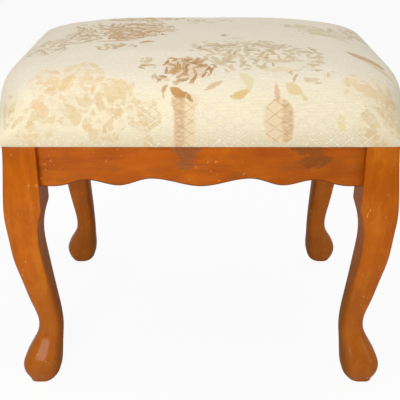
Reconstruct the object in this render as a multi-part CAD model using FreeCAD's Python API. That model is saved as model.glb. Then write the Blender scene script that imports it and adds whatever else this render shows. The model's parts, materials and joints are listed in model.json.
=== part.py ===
import FreeCAD, Part
import math
import os

# An upholstered footstool: four curved legs, four scalloped aprons between them,
# and a padded seat that is screwed down from below through four corner blocks.
# Millimetres. X runs to the right, Y to the back, Z up.
# The origin is on the floor, under the middle of the stool.

# Nearer than this counts as touching
near = 0.01

# Frame, over the outer faces of the square posts that top the legs
frame_width = 438.0
frame_depth = 332.0
frame_top = 326.0
post_size = 38.0

# Leg. A reach is how far its side stands out past the post's outer face.
# A reach under zero lies inside that face.
pad_size = 29.0
pad_reach = 2.0
undercut_share = 0.45
undercut_swell = 0.74
toe_height = 27.0
toe_size = 47.0
toe_reach = 8.5
ankle_height = 69.0
ankle_size = 30.0
ankle_reach = -11.4
shaft_shares = (0.3, 0.55, 0.8, 1.0)
knee_drop = 114.0
knee_size = 36.3
knee_reach = 4.7
bracket_drop = 94.0
bracket_size = 40.2
bracket_reach = 5.8
post_drop = 76.0
post_reach = 5.4
swell_drop = 15.0
post_corner_round = 6.0
post_edge_round = 1.6
knee_inner_round = 6.0
ridge_share = 0.31
round_share = 0.41
trim_stock = 1.5

# Aprons
apron_height = 55.0
apron_thickness = 19.0
apron_recess = 8.0
apron_edge_round = 2.0

# Scalloped lower edge. Places are shares of the half length, from the middle out.
arch_place = 0.31
arch_rise = 9.3
lobe_place = 0.514
lobe_rise = 1.0
end_arch_place = 0.71
end_arch_rise = 7.6
end_lobe_place = 0.93

# Dowels between aprons and posts
dowel_diameter = 8.0
dowel_in_apron = 20.0
dowel_wall = 2.5
dowel_drop = 15.0
dowel_spacing = 24.0
dowel_side_gap = 0.1
dowel_end_gap = 1.0

# Corner blocks, each cut around the inner corner of its post
block_thickness = 22.0
block_drop = 3.0
block_reach = 53.0
block_blunt = 9.0
block_gap = 0.3

# Screws
screw_gap = 0.1
screw_tip_radius = 0.4
recess_length = 3.4
recess_width = 0.8
recess_depth = 1.1
block_screw_diameter = 4.2
block_screw_head = 8.0
block_screw_head_height = 2.6
block_screw_bore = 9.0
block_screw_end = 10.0
block_screw_web = 13.0
block_screw_cover = 6.0
seat_screw_diameter = 4.5
seat_screw_clearance = 5.5
seat_screw_head = 9.5
seat_screw_head_height = 3.2
seat_screw_cover = 3.0

# Padded seat: its plan at the widest, its edge and its crown
seat_overhang = 11.0
edge_roll = 5.0
edge_roll_height = 9.0
edge_roll_rest = 0.75
seat_height = 90.0
crown_power = 5.0
side_top_share = 0.3
crown_steps = (0.985, 0.95, 0.88, 0.78, 0.66, 0.53, 0.4)
low_corner_radius = 18.0
high_corner_radius = 82.0
low_bow = 2.0
high_bow = 9.0
board_thickness = 12.0
batting_thickness = 6.0
cover_thickness = 1.2
cover_return = 50.0

# Dust cover under the seat
dust_thickness = 0.5
dust_gap = 0.5
dust_post_gap = 1.0

# Staples
staple_width = 10.0
staple_wire = 0.5
staple_breadth = 1.0
staple_bite = 5.0
staple_gap = 0.1
staple_pitch = 50.0
cover_staple_inset = 5.0
dust_staple_inset = 4.5
staple_corner_gap = 40.0

# Places worked out from the sizes
half_width = frame_width / 2
half_depth = frame_depth / 2
apron_inner = apron_recess + apron_thickness
apron_middle = apron_recess + apron_thickness / 2
front_half_length = half_width - post_size
side_half_length = half_depth - post_size
dowel_in_leg = post_size - apron_middle - dowel_diameter / 2 - dowel_wall
dowel_levels = (frame_top - dowel_drop, frame_top - dowel_drop - dowel_spacing)
block_top = frame_top - block_drop
block_bottom = block_top - block_thickness
block_notch = post_size + block_gap
block_end = apron_inner + block_reach
block_centre = (2 * block_notch + apron_inner + block_blunt + block_end) / 4
block_screw_place = block_end - block_screw_end
block_screw_level = (block_top + block_bottom) / 2
block_screw_seat = apron_inner + block_screw_web
block_screw_tip = apron_recess + block_screw_cover
board_bottom = frame_top + cover_thickness
board_top = board_bottom + board_thickness
seat_screw_tip = board_top - seat_screw_cover
seat_half_width = half_width + seat_overhang
seat_half_depth = half_depth + seat_overhang
filling = cover_thickness + batting_thickness
return_half_width = seat_half_width - edge_roll - cover_return
return_half_depth = seat_half_depth - edge_roll - cover_return
dust_half_width = half_width - apron_inner - dust_gap
dust_half_depth = half_depth - apron_inner - dust_gap
dust_top = frame_top - staple_wire
dust_bottom = dust_top - dust_thickness


def point(x, y, z=0.0):
    return FreeCAD.Vector(x, y, z)


def box(x0, x1, y0, y1, z0, z1):
    return Part.makeBox(x1 - x0, y1 - y0, z1 - z0, point(x0, y0, z0))


def prism(corners, bottom, top):
    wire = Part.makePolygon([point(x, y, bottom) for x, y in corners + corners[:1]])
    return Part.Face(wire).extrude(point(0, 0, top - bottom))


def blend(start, end, share):
    return start + (end - start) * share


def ease(share):
    return share * share * (3 - 2 * share)


def four_corners(shape):
    """The shape made for the front left corner, with its mirror images in the others."""
    right = shape.mirror(point(0, 0), point(1, 0))
    rear = shape.mirror(point(0, 0), point(0, 1))
    return {
        "front_left": shape,
        "front_right": right,
        "rear_left": rear,
        "rear_right": right.mirror(point(0, 0), point(0, 1)),
    }


# Legs


def leg_section(height, reach, size, corner_round, edge_round, inner_round):
    """A square with rounded corners, in the corner frame of the post's outer faces."""
    low = -reach
    high = size - reach
    corners = (
        (low, low, 1, 1, corner_round),
        (high, low, -1, 1, edge_round),
        (high, high, -1, -1, inner_round),
        (low, high, 1, -1, edge_round),
    )
    arcs = []
    for number, (x, y, inward_x, inward_y, radius) in enumerate(corners):
        along_x = point(x + inward_x * radius, y, height)
        along_y = point(x, y + inward_y * radius, height)
        middle = radius * (1 - math.sqrt(0.5))
        on_arc = point(x + inward_x * middle, y + inward_y * middle, height)
        if number % 2 == 0:
            arcs.append((along_y, on_arc, along_x))
        else:
            arcs.append((along_x, on_arc, along_y))
    edges = []
    for arc, following in zip(arcs, arcs[1:] + arcs[:1]):
        edges.append(Part.Arc(*arc).toShape())
        edges.append(Part.LineSegment(arc[2], following[0]).toShape())
    return Part.Wire(edges)


def foot_section(height, reach, size):
    """A nearly round section, a little tighter on the outer corner's ridge."""
    side = round_share * size
    return leg_section(height, reach, size, ridge_share * size, side, side)


def leg_sections():
    knee_height = frame_top - knee_drop
    bracket_height = frame_top - bracket_drop
    post_height = frame_top - post_drop
    swell_height = frame_top - swell_drop
    sections = [foot_section(0, pad_reach, pad_size)]

    # The toe swells out from the pad, and the instep runs up to the ankle
    sections.append(
        foot_section(
            undercut_share * toe_height,
            blend(pad_reach, toe_reach, undercut_swell),
            blend(pad_size, toe_size, undercut_swell),
        )
    )
    sections.append(foot_section(toe_height, toe_reach, toe_size))
    sections.append(
        foot_section(
            blend(toe_height, ankle_height, 0.5),
            blend(toe_reach, ankle_reach, 0.5),
            blend(toe_size, ankle_size, 0.5),
        )
    )
    sections.append(foot_section(ankle_height, ankle_reach, ankle_size))

    # The shaft leans out and squares up towards the knee
    for share in shaft_shares:
        eased = ease(share)
        sections.append(
            leg_section(
                blend(ankle_height, knee_height, share),
                blend(ankle_reach, knee_reach, eased),
                blend(ankle_size, knee_size, eased),
                blend(ridge_share * ankle_size, post_corner_round, eased),
                blend(round_share * ankle_size, post_edge_round, eased),
                blend(round_share * ankle_size, knee_inner_round, eased),
            )
        )

    # The bracket steps in to the post, and the knee's swell dies out up the post
    post_rounds = (post_corner_round, post_edge_round, post_edge_round)
    sections.append(
        leg_section(
            bracket_height,
            bracket_reach,
            bracket_size,
            post_corner_round,
            post_edge_round,
            (knee_inner_round + post_edge_round) / 2,
        )
    )
    for share in (0.0, 0.5, 1.0):
        height = blend(post_height, swell_height, share)
        reach = post_reach * (1 - ease(share))
        size = post_size + trim_stock + reach
        sections.append(leg_section(height, reach, size, *post_rounds))
    sections.append(leg_section(frame_top, 0.0, post_size + trim_stock, *post_rounds))
    return sections


def dowel_hole(start, direction, depth):
    radius = dowel_diameter / 2 + dowel_side_gap
    return Part.makeCylinder(radius, depth + dowel_end_gap, start, direction)


def leg():
    """The front left leg."""
    shape = Part.makeLoft(leg_sections(), True, False)

    # Both inner faces of the post are planed flat for the aprons
    plane_start = frame_top - (post_drop + bracket_drop) / 2
    far = 2 * post_size
    shape = shape.cut(box(post_size, far, -far, far, plane_start, frame_top + far))
    shape = shape.cut(box(-far, far, post_size, far, plane_start, frame_top + far))

    for level in dowel_levels:
        start_x = point(post_size, apron_middle, level)
        start_y = point(apron_middle, post_size, level)
        shape = shape.cut(dowel_hole(start_x, point(-1, 0, 0), dowel_in_leg))
        shape = shape.cut(dowel_hole(start_y, point(0, -1, 0), dowel_in_leg))
    shape.translate(point(-half_width, -half_depth, 0))
    return shape


# Aprons


def scallop(half_length):
    """The lower edge, a wave whose hollows and lobes all lie level."""
    places = [
        (lobe_place, lobe_rise),
        (end_arch_place, end_arch_rise),
        (end_lobe_place, 0.0),
    ]
    places = [(0.0, 0.0), (arch_place, arch_rise)] + places
    left = [(-share, rise) for share, rise in reversed(places[1:])]
    bottom = frame_top - apron_height
    points = [point(share * half_length, 0, bottom + rise) for share, rise in left + places]
    level = [point(1, 0, 0)] * len(points)
    curve = Part.BSplineCurve()
    curve.interpolate(Points=points, Tangents=level, TangentFlags=[True] * len(points))
    return curve.toShape(), points[0], points[-1]


def apron(half_length):
    """An apron that faces the front, with its outer face on the plane Y = 0."""
    wave, first, last = scallop(half_length)
    bottom = frame_top - apron_height
    low_left = point(-half_length, 0, bottom)
    low_right = point(half_length, 0, bottom)
    high_left = point(-half_length, 0, frame_top)
    high_right = point(half_length, 0, frame_top)
    outline = Part.Wire(
        [
            Part.LineSegment(low_left, first).toShape(),
            wave,
            Part.LineSegment(last, low_right).toShape(),
            Part.LineSegment(low_right, high_right).toShape(),
            Part.LineSegment(high_right, high_left).toShape(),
            Part.LineSegment(high_left, low_left).toShape(),
        ]
    )
    board = Part.Face(outline).extrude(point(0, apron_thickness, 0))

    # The lower edge is rounded where it shows
    edges = []
    for edge in board.Edges:
        extent = edge.BoundBox
        on_face = extent.YMax < near
        if on_face and extent.ZMax < frame_top - near and extent.XLength > near:
            edges.append(edge)
    board = board.makeFillet(apron_edge_round, edges)

    for side in (-1, 1):
        for level in dowel_levels:
            start = point(side * half_length, apron_thickness / 2, level)
            board = board.cut(dowel_hole(start, point(-side, 0, 0), dowel_in_apron))

        # Pilot hole of the corner block's screw
        place = side * (half_length + post_size - block_screw_place)
        tip = block_screw_tip - apron_recess
        radius = block_screw_diameter / 2 + screw_gap
        depth = apron_thickness - tip + screw_gap
        start = point(place, tip - screw_gap, block_screw_level)
        board = board.cut(Part.makeCylinder(radius, depth, start, point(0, 1, 0)))
    return board


def aprons():
    front = apron(front_half_length)
    front.translate(point(0, apron_recess - half_depth, 0))
    left = apron(side_half_length)
    left.rotate(point(0, 0), point(0, 0, 1), -90)
    left.translate(point(apron_recess - half_width, 0, 0))
    return {
        "apron_front": front,
        "apron_rear": front.mirror(point(0, 0), point(0, 1)),
        "apron_left": left,
        "apron_right": left.mirror(point(0, 0), point(1, 0)),
    }


def apron_dowels():
    """Two dowels in each of the eight joints between an apron and a post."""
    length = dowel_in_apron + dowel_in_leg
    radius = dowel_diameter / 2
    dowels = []
    for level in dowel_levels:
        start_x = point(post_size - dowel_in_leg, apron_middle, level)
        start_y = point(apron_middle, post_size - dowel_in_leg, level)
        dowels.append(Part.makeCylinder(radius, length, start_x, point(1, 0, 0)))
        dowels.append(Part.makeCylinder(radius, length, start_y, point(0, 1, 0)))
    corner = Part.makeCompound(dowels)
    corner.translate(point(-half_width, -half_depth, 0))
    return Part.makeCompound([s for c in four_corners(corner).values() for s in c.Solids])


# Corner blocks and screws


def screw(head_seat, tip, diameter, head_diameter, head_height):
    """A pointed screw with a flat head and a cross recess, from its head's seat to its tip."""
    direction = (tip - head_seat).normalize()
    radius = diameter / 2
    length = (tip - head_seat).Length - diameter
    head_top = head_seat - direction * head_height
    shank = Part.makeCylinder(radius, length, head_seat, direction)
    end = Part.makeCone(radius, screw_tip_radius, diameter, head_seat + direction * length, direction)
    head = Part.makeCylinder(head_diameter / 2, head_height, head_top, direction)
    body = shank.fuse([end, head]).removeSplitter()
    long = recess_length / 2
    narrow = recess_width / 2
    recess = Part.makeCompound(
        [
            box(-long, long, -narrow, narrow, 0, recess_depth),
            box(-narrow, narrow, -long, long, 0, recess_depth),
        ]
    )
    recess.Placement = FreeCAD.Placement(head_top, FreeCAD.Rotation(point(0, 0, 1), direction))
    return body.cut(recess)


def corner_block():
    """The front left corner block, with its bores."""
    corners = [
        (apron_inner, block_notch),
        (apron_inner, block_end),
        (apron_inner + block_blunt, block_end),
        (block_end, apron_inner + block_blunt),
        (block_end, apron_inner),
        (block_notch, apron_inner),
        (block_notch, block_notch),
    ]
    block = prism(corners, block_bottom, block_top)
    level = block_screw_level
    shank_radius = block_screw_diameter / 2 + screw_gap
    bores = []
    for swap in (False, True):
        direction = point(1, 0, 0) if swap else point(0, 1, 0)
        places = []
        for along in (block_screw_seat, apron_inner):
            place = (along, block_screw_place) if swap else (block_screw_place, along)
            places.append(point(place[0], place[1], level))
        seat, entry = places
        bores.append(Part.makeCylinder(block_screw_bore / 2, block_end, seat, direction))
        bores.append(Part.makeCylinder(shank_radius, block_screw_web, entry, direction))
    through = seat_screw_clearance / 2
    start = point(block_centre, block_centre, block_bottom)
    bores.append(Part.makeCylinder(through, block_thickness, start, point(0, 0, 1)))
    block = block.cut(Part.makeCompound(bores))
    block.translate(point(-half_width, -half_depth, 0))
    return block


def block_screws():
    """Two sunk screws in each corner block, one into each apron."""
    level = block_screw_level
    place = block_screw_place
    sizes = (block_screw_diameter, block_screw_head, block_screw_head_height)
    front_seat = point(place, block_screw_seat, level)
    side_seat = point(block_screw_seat, place, level)
    into_front = screw(front_seat, point(place, block_screw_tip, level), *sizes)
    into_side = screw(side_seat, point(block_screw_tip, place, level), *sizes)
    corner = Part.makeCompound([into_front, into_side])
    corner.translate(point(-half_width, -half_depth, 0))
    return Part.makeCompound([s for c in four_corners(corner).values() for s in c.Solids])


def seat_screw_places():
    x = half_width - block_centre
    y = half_depth - block_centre
    return [(-x, -y), (x, -y), (-x, y), (x, y)]


def seat_screws():
    screws = []
    for x, y in seat_screw_places():
        head_seat = point(x, y, block_bottom)
        tip = point(x, y, seat_screw_tip)
        sizes = (seat_screw_diameter, seat_screw_head, seat_screw_head_height)
        screws.append(screw(head_seat, tip, *sizes))
    return Part.makeCompound(screws)


def seat_screw_holes(diameter, top):
    holes = []
    for x, y in seat_screw_places():
        start = point(x, y, block_bottom)
        holes.append(Part.makeCylinder(diameter / 2, top - block_bottom, start))
    return Part.makeCompound(holes)


# Padded seat


def bowed_outline(half_x, half_y, radius, bow, height):
    """A rectangle with bowed sides and rounded corners, in eight tangent arcs."""
    front_radius = (half_x ** 2 + bow ** 2) / (2 * bow)
    side_radius = (half_y ** 2 + bow ** 2) / (2 * bow)
    front_centre = point(0, half_y - front_radius)
    side_centre = point(half_x - side_radius, 0)

    # The corner's centre lies where both long arcs leave room for its radius
    between = side_centre - front_centre
    span = between.Length
    reach = front_radius - radius
    along = (reach ** 2 - (side_radius - radius) ** 2 + span ** 2) / (2 * span)
    across = math.sqrt(reach ** 2 - along ** 2)
    unit = between * (1 / span)
    corner = front_centre + unit * along + point(unit.y, -unit.x) * across
    from_front = (corner - front_centre) * (1 / reach)
    from_side = (corner - side_centre) * (1 / (side_radius - radius))
    on_front = corner + from_front * radius
    on_side = corner + from_side * radius
    middle = from_front + from_side
    on_corner = corner + middle * (radius / middle.Length)

    def place(spot, sign_x, sign_y):
        return point(sign_x * spot.x, sign_y * spot.y, height)

    edges = []
    for sign_x, sign_y in ((1, 1), (1, -1), (-1, -1), (-1, 1)):
        first, last = (on_front, on_side) if sign_x == sign_y else (on_side, on_front)
        start = place(first, sign_x, sign_y)
        end = place(last, sign_x, sign_y)
        edges.append(Part.Arc(start, place(on_corner, sign_x, sign_y), end).toShape())
        if sign_x == sign_y:
            halfway = point(sign_x * half_x, 0, height)
        else:
            halfway = point(0, sign_y * half_y, height)
        mirrored = place(last, sign_x, -sign_y) if sign_x == sign_y else place(last, -sign_x, sign_y)
        edges.append(Part.Arc(end, halfway, mirrored).toShape())
    return Part.Wire(edges)


def cushion_outline(inset, share_up, share_out, drawn_in, height):
    """One level of the cushion. The plan grows rounder and more bowed going up."""
    half_x = share_out * (seat_half_width - inset) - drawn_in
    half_y = share_out * (seat_half_depth - inset) - drawn_in
    rounder = share_up ** 2
    radius = share_out * (blend(low_corner_radius, high_corner_radius, rounder) - inset)
    bow = share_out * blend(low_bow, high_bow, rounder)
    return bowed_outline(half_x, half_y, radius, bow, height)


def cushion(inset, bottom):
    """The cushion's form, smaller by an inset all round, from a bottom level up."""
    height = seat_height - inset
    outlines = [cushion_outline(inset, 0.0, 1.0, edge_roll, frame_top)]
    roll_top = frame_top + edge_roll_height
    outlines.append(cushion_outline(inset, 0.0, 1.0, edge_roll_rest, roll_top))
    side_top = frame_top + side_top_share * height
    outlines.append(cushion_outline(inset, side_top_share, 1.0, 0.0, side_top))
    for share_out in crown_steps:
        share_up = (1 - share_out ** crown_power) ** (1 / crown_power)
        level = frame_top + share_up * height
        outlines.append(cushion_outline(inset, share_up, share_out, 0.0, level))
    form = Part.makeLoft(outlines, True, False)
    if bottom > frame_top:
        far = 2 * frame_width
        form = form.cut(box(-far, far, -far, far, frame_top - far, bottom))
    return form


def seat_board():
    half_x = seat_half_width - filling - edge_roll
    half_y = seat_half_depth - filling - edge_roll
    radius = low_corner_radius - filling
    outline = bowed_outline(half_x, half_y, radius, low_bow, board_bottom)
    return Part.Face(outline).extrude(point(0, 0, board_thickness))


# Staples


def staple(x, y, turned, crown_bottom):
    """A staple driven up from below."""
    half = staple_width / 2
    broad = staple_breadth / 2
    top = board_bottom + staple_bite
    crown = box(-half, half, -broad, broad, crown_bottom, crown_bottom + staple_wire)
    legs = [
        box(-half, staple_wire - half, -broad, broad, crown_bottom, top),
        box(half - staple_wire, half, -broad, broad, crown_bottom, top),
    ]
    shape = crown.fuse(legs).removeSplitter()
    if turned:
        shape.rotate(point(0, 0), point(0, 0, 1), 90)
    shape.translate(point(x, y, 0))
    return shape


def staple_places(half_x, half_y, corner_gap):
    """Places along the four sides of a rectangle, evenly spaced on each side."""
    places = []
    for half_run, offset, turned in ((half_x, half_y, False), (half_y, half_x, True)):
        run = half_run - corner_gap
        count = max(2, round(2 * run / staple_pitch) + 1)
        for number in range(count):
            along = -run + 2 * run * number / (count - 1)
            for side in (-1, 1):
                x, y = (side * offset, along) if turned else (along, side * offset)
                places.append((x, y, turned))
    return places


def cover_staple_places():
    half_x = return_half_width + cover_staple_inset
    half_y = return_half_depth + cover_staple_inset
    return staple_places(half_x, half_y, staple_corner_gap)


def dust_staple_places():
    half_x = dust_half_width - dust_staple_inset
    half_y = dust_half_depth - dust_staple_inset
    return staple_places(half_x, half_y, staple_corner_gap + staple_pitch / 2)


def staples(places, crown_bottom):
    return Part.makeCompound([staple(*place, crown_bottom) for place in places])


def staple_holes():
    """Pinholes for the legs of every staple, through the cloths and into the board."""
    wire = math.hypot(staple_wire, staple_breadth) / 2
    radius = wire + staple_gap
    start = dust_bottom - staple_gap
    depth = board_bottom + staple_bite + staple_gap - start
    across = (staple_width - staple_wire) / 2
    holes = []
    for x, y, turned in cover_staple_places() + dust_staple_places():
        for side in (-across, across):
            place = point(x, y + side, start) if turned else point(x + side, y, start)
            holes.append(Part.makeCylinder(radius, depth, place))
    return Part.makeCompound(holes)


def seat_cover(outer, batting_form, holes):
    """The fabric, pulled round the board's edge and returned under it."""
    x = return_half_width
    y = return_half_depth
    opening = box(-x, x, -y, y, frame_top - cover_thickness, board_bottom + cover_thickness)
    return outer.cut([batting_form, opening] + holes)


def dust_cover():
    """Thin black cloth over the frame's opening, with its corners cut off at the posts."""
    x = dust_half_width
    y = dust_half_depth
    corner_sum = front_half_length + side_half_length - dust_post_gap
    cut_x = corner_sum - y
    cut_y = corner_sum - x
    corners = [
        (cut_x, y), (x, cut_y), (x, -cut_y), (cut_x, -y),
        (-cut_x, -y), (-x, -cut_y), (-x, cut_y), (-cut_x, y),
    ]
    return prism(corners, dust_bottom, dust_top)


def build():
    nodes = {}
    for corner, shape in four_corners(leg()).items():
        nodes["leg_" + corner] = shape
    nodes.update(aprons())
    nodes["apron_dowels"] = apron_dowels()
    for corner, shape in four_corners(corner_block()).items():
        nodes["corner_block_" + corner] = shape
    nodes["corner_block_screws"] = block_screws()
    nodes["seat_screws"] = seat_screws()

    pilots = seat_screw_holes(seat_screw_diameter + 2 * screw_gap, seat_screw_tip + screw_gap)
    holes = [staple_holes(), pilots]
    board = seat_board()
    foam = cushion(filling, board_top)
    batting_form = cushion(cover_thickness, board_bottom)
    outer = cushion(0.0, frame_top)
    nodes["seat_board"] = board.cut(holes)
    nodes["seat_foam"] = foam
    nodes["seat_batting"] = batting_form.cut([foam, board])
    nodes["seat_cover"] = seat_cover(outer, batting_form, holes)
    nodes["dust_cover"] = dust_cover().cut(holes)
    nodes["cover_staples"] = staples(cover_staple_places(), dust_top)
    nodes["dust_cover_staples"] = staples(dust_staple_places(), dust_bottom - staple_wire)
    return nodes


os.makedirs("parts", exist_ok=True)
for name, shape in build().items():
    shape.exportStep("parts/" + name + ".step")
    state = "valid" if shape.isValid() else "not valid"
    extent = shape.BoundBox
    sizes = [round(size, 1) for size in (extent.XLength, extent.YLength, extent.ZLength)]
    print(name, len(shape.Solids), "solids", state, sizes, round(shape.Volume / 1000, 2), "cm3")
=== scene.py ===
import math
import json

import bpy
import numpy as np
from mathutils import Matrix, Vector

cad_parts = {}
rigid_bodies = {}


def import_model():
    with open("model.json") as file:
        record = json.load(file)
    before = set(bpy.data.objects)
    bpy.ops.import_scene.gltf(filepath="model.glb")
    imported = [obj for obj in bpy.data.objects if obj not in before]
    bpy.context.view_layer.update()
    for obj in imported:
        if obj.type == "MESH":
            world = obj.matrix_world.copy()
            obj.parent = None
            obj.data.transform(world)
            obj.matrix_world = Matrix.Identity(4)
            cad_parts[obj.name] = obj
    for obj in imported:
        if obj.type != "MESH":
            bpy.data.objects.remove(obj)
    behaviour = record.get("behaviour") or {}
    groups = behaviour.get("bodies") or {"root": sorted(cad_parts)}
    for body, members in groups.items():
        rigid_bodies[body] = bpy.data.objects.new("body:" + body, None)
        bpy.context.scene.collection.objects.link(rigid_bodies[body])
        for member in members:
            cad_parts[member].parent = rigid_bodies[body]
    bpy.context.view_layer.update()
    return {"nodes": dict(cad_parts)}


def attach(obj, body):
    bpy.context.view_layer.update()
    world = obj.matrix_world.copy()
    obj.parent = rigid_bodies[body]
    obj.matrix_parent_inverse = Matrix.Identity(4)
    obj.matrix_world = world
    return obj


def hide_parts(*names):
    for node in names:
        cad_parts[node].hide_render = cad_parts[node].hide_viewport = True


# An upholstered footstool: a padded seat in a floral jacquard, stained and worn wood below it,
# and a black dust cover under the frame. All in metres.

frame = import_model()
nodes = frame["nodes"]
MM = 0.001


# Colours and nodes


def linear(hex_colour):
    """A colour written as sRGB hex, in the linear values that shaders take."""
    channels = []
    for start in (1, 3, 5):
        value = int(hex_colour[start:start + 2], 16) / 255
        if value <= 0.04045:
            channels.append(value / 12.92)
        else:
            channels.append(((value + 0.055) / 1.055) ** 2.4)
    return (*channels, 1.0)


def new_material(name):
    """A material with no nodes in it yet, and its node tree."""
    material = bpy.data.materials.new(name)
    material.use_nodes = True
    material.node_tree.nodes.clear()
    return material, material.node_tree


def add(tree, kind, inputs=(), **settings):
    """Adds a node with its settings. An input is a number, a vector, a hex colour, an output of
    another node, or a node, whose first output in use is taken."""
    node = tree.nodes.new("ShaderNode" + kind)
    for name, value in settings.items():
        setattr(node, name, value)
    for place, given in dict(inputs).items():
        if isinstance(given, bpy.types.Node):
            given = next(output for output in given.outputs if output.enabled)
        if isinstance(given, bpy.types.NodeSocket):
            tree.links.new(given, node.inputs[place])
        elif isinstance(given, str):
            node.inputs[place].default_value = linear(given)
        else:
            node.inputs[place].default_value = given
    return node


# A Map Range node takes its value in input 0, the range in 1 and 2 and what it becomes in 3 and 4,
# from 0 to 1 where they aren't given. A Mix node takes its share in 0 and its two colours in 6 and 7.
SMOOTH = {"interpolation_type": "SMOOTHSTEP"}
COLOURS = {"data_type": "RGBA"}


def per_patch(*millimetres):
    """The Mapping scale at which one patch or cell of a pattern has this size."""
    return tuple(1 / (MM * side) for side in millimetres)


# Help for modelling by hand


def deselect_all():
    for piece in bpy.context.view_layer.objects:
        piece.select_set(False)


def make_active(piece):
    deselect_all()
    piece.select_set(True)
    bpy.context.view_layer.objects.active = piece


def named(name):
    """The object that was just added, under its name."""
    piece = bpy.context.active_object
    piece.name = name
    piece.data.name = name
    return piece


# Seat cushion: foam, wadding and cover as one padded form

# The padding's form: its underside, its height, its half sizes and the powers of its rounding
SEAT_BOTTOM = 326 * MM
CROWN = 89.2 * MM
HALF_WIDTH = 229.5 * MM
HALF_DEPTH = 176.5 * MM
WIDTH_POWER = 5.5
DEPTH_POWER = 4.6

# Radius of the corners seen from above, at the lower edge and at the top
LOW_CORNER = 16 * MM
HIGH_CORNER = 78 * MM
CORNER_GROWTH = 0.75
ROUNDEST = 0.95

# The lower edge rolls in, and the cloth hangs a little below it before it is returned under the board
EDGE_ROLL = 3.5 * MM
EDGE_ROLL_SHARE = 0.1
LIP = 3.6 * MM
LIP_RUN = 6 * MM
RETURN = 50 * MM
RETURN_SIZES = (175 * MM, 122 * MM, 2 * MM)

# The seat is a little narrower at the front, and a little higher at the back
FRONT_TAPER = 0.03
TAPER_FULL = 0.35
BACK_RISE = 0.015

# Size of the sheet's squares, how much closer together they lie round the lip, and the steps of
# the table that gives the cloth's run
STITCH = 8.2 * MM
LIP_FINER = 20 * MM
LIP_CLOSER = 0.55
SECTION_STEPS = 240

# The cushion starts this much smaller, ends at most this far from the padding's form, and is held
# at its lowest part
SLACK = 3 * MM
CAP = 1.6 * MM
HELD_HEIGHT = 3 * MM
SWELL_FRAMES = 20


def ring_sizes(level):
    """Half width, half depth and corner radius of the cushion at a level, from 0 at the underside
    to 1 at the top."""
    half_x = HALF_WIDTH * (1 - level ** WIDTH_POWER) ** (1 / WIDTH_POWER)
    half_y = HALF_DEPTH * (1 - level ** DEPTH_POWER) ** (1 / DEPTH_POWER)
    if level < EDGE_ROLL_SHARE:
        drawn_in = EDGE_ROLL * (1 - level / EDGE_ROLL_SHARE) ** 2
        half_x -= drawn_in
        half_y -= drawn_in
    radius = LOW_CORNER + (HIGH_CORNER - LOW_CORNER) * level ** CORNER_GROWTH
    return half_x, half_y, min(radius, ROUNDEST * min(half_x, half_y))


def ring_point(sizes, across, along):
    """A point of an outline seen from above, and the outward normal there, from a point on the
    edge of the square from -1 to 1."""
    half_x, half_y, radius = sizes
    flip = abs(along) >= abs(across)
    share = abs(across) if flip else abs(along)
    long_side, other = (half_x, half_y) if flip else (half_y, half_x)
    straight = long_side - radius
    distance = share * (straight + radius * math.pi / 4)
    if distance <= straight:
        place, out, normal = distance, other, (0.0, 1.0)
    else:
        turn = (distance - straight) / radius
        place = straight + radius * math.sin(turn)
        out = other - radius + radius * math.cos(turn)
        normal = (math.sin(turn), math.cos(turn))
    x, y = (place, out) if flip else (out, place)
    normal_x, normal_y = normal if flip else normal[::-1]
    sign_x = -1 if across < 0 else 1
    sign_y = -1 if along < 0 else 1
    return x * sign_x, y * sign_y, normal_x * sign_x, normal_y * sign_y


def section_table():
    """The cloth's run from the seat's middle down a long side: the run, the level there, and how
    much longer the run is than the way across."""
    rows = []
    run = 0.0
    extra = 0.0
    last = None
    for step in range(SECTION_STEPS + 1):
        angle = math.pi / 2 * step / SECTION_STEPS
        level = math.cos(angle) ** 0.5 if step < SECTION_STEPS else 0.0
        out = ring_sizes(level)[1]
        if last is not None:
            rise = (last[0] - level) * CROWN
            across = out - last[1]
            length = math.hypot(rise, across)
            run += length
            extra += length - across
        rows.append((run, level, extra))
        last = (level, out)
    return rows


def finer_at_lip(distance):
    """Draws the rows of squares closer together where the cloth turns under."""
    return distance * (1 - LIP_CLOSER * math.exp(-(distance / LIP_FINER) ** 2))


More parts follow.
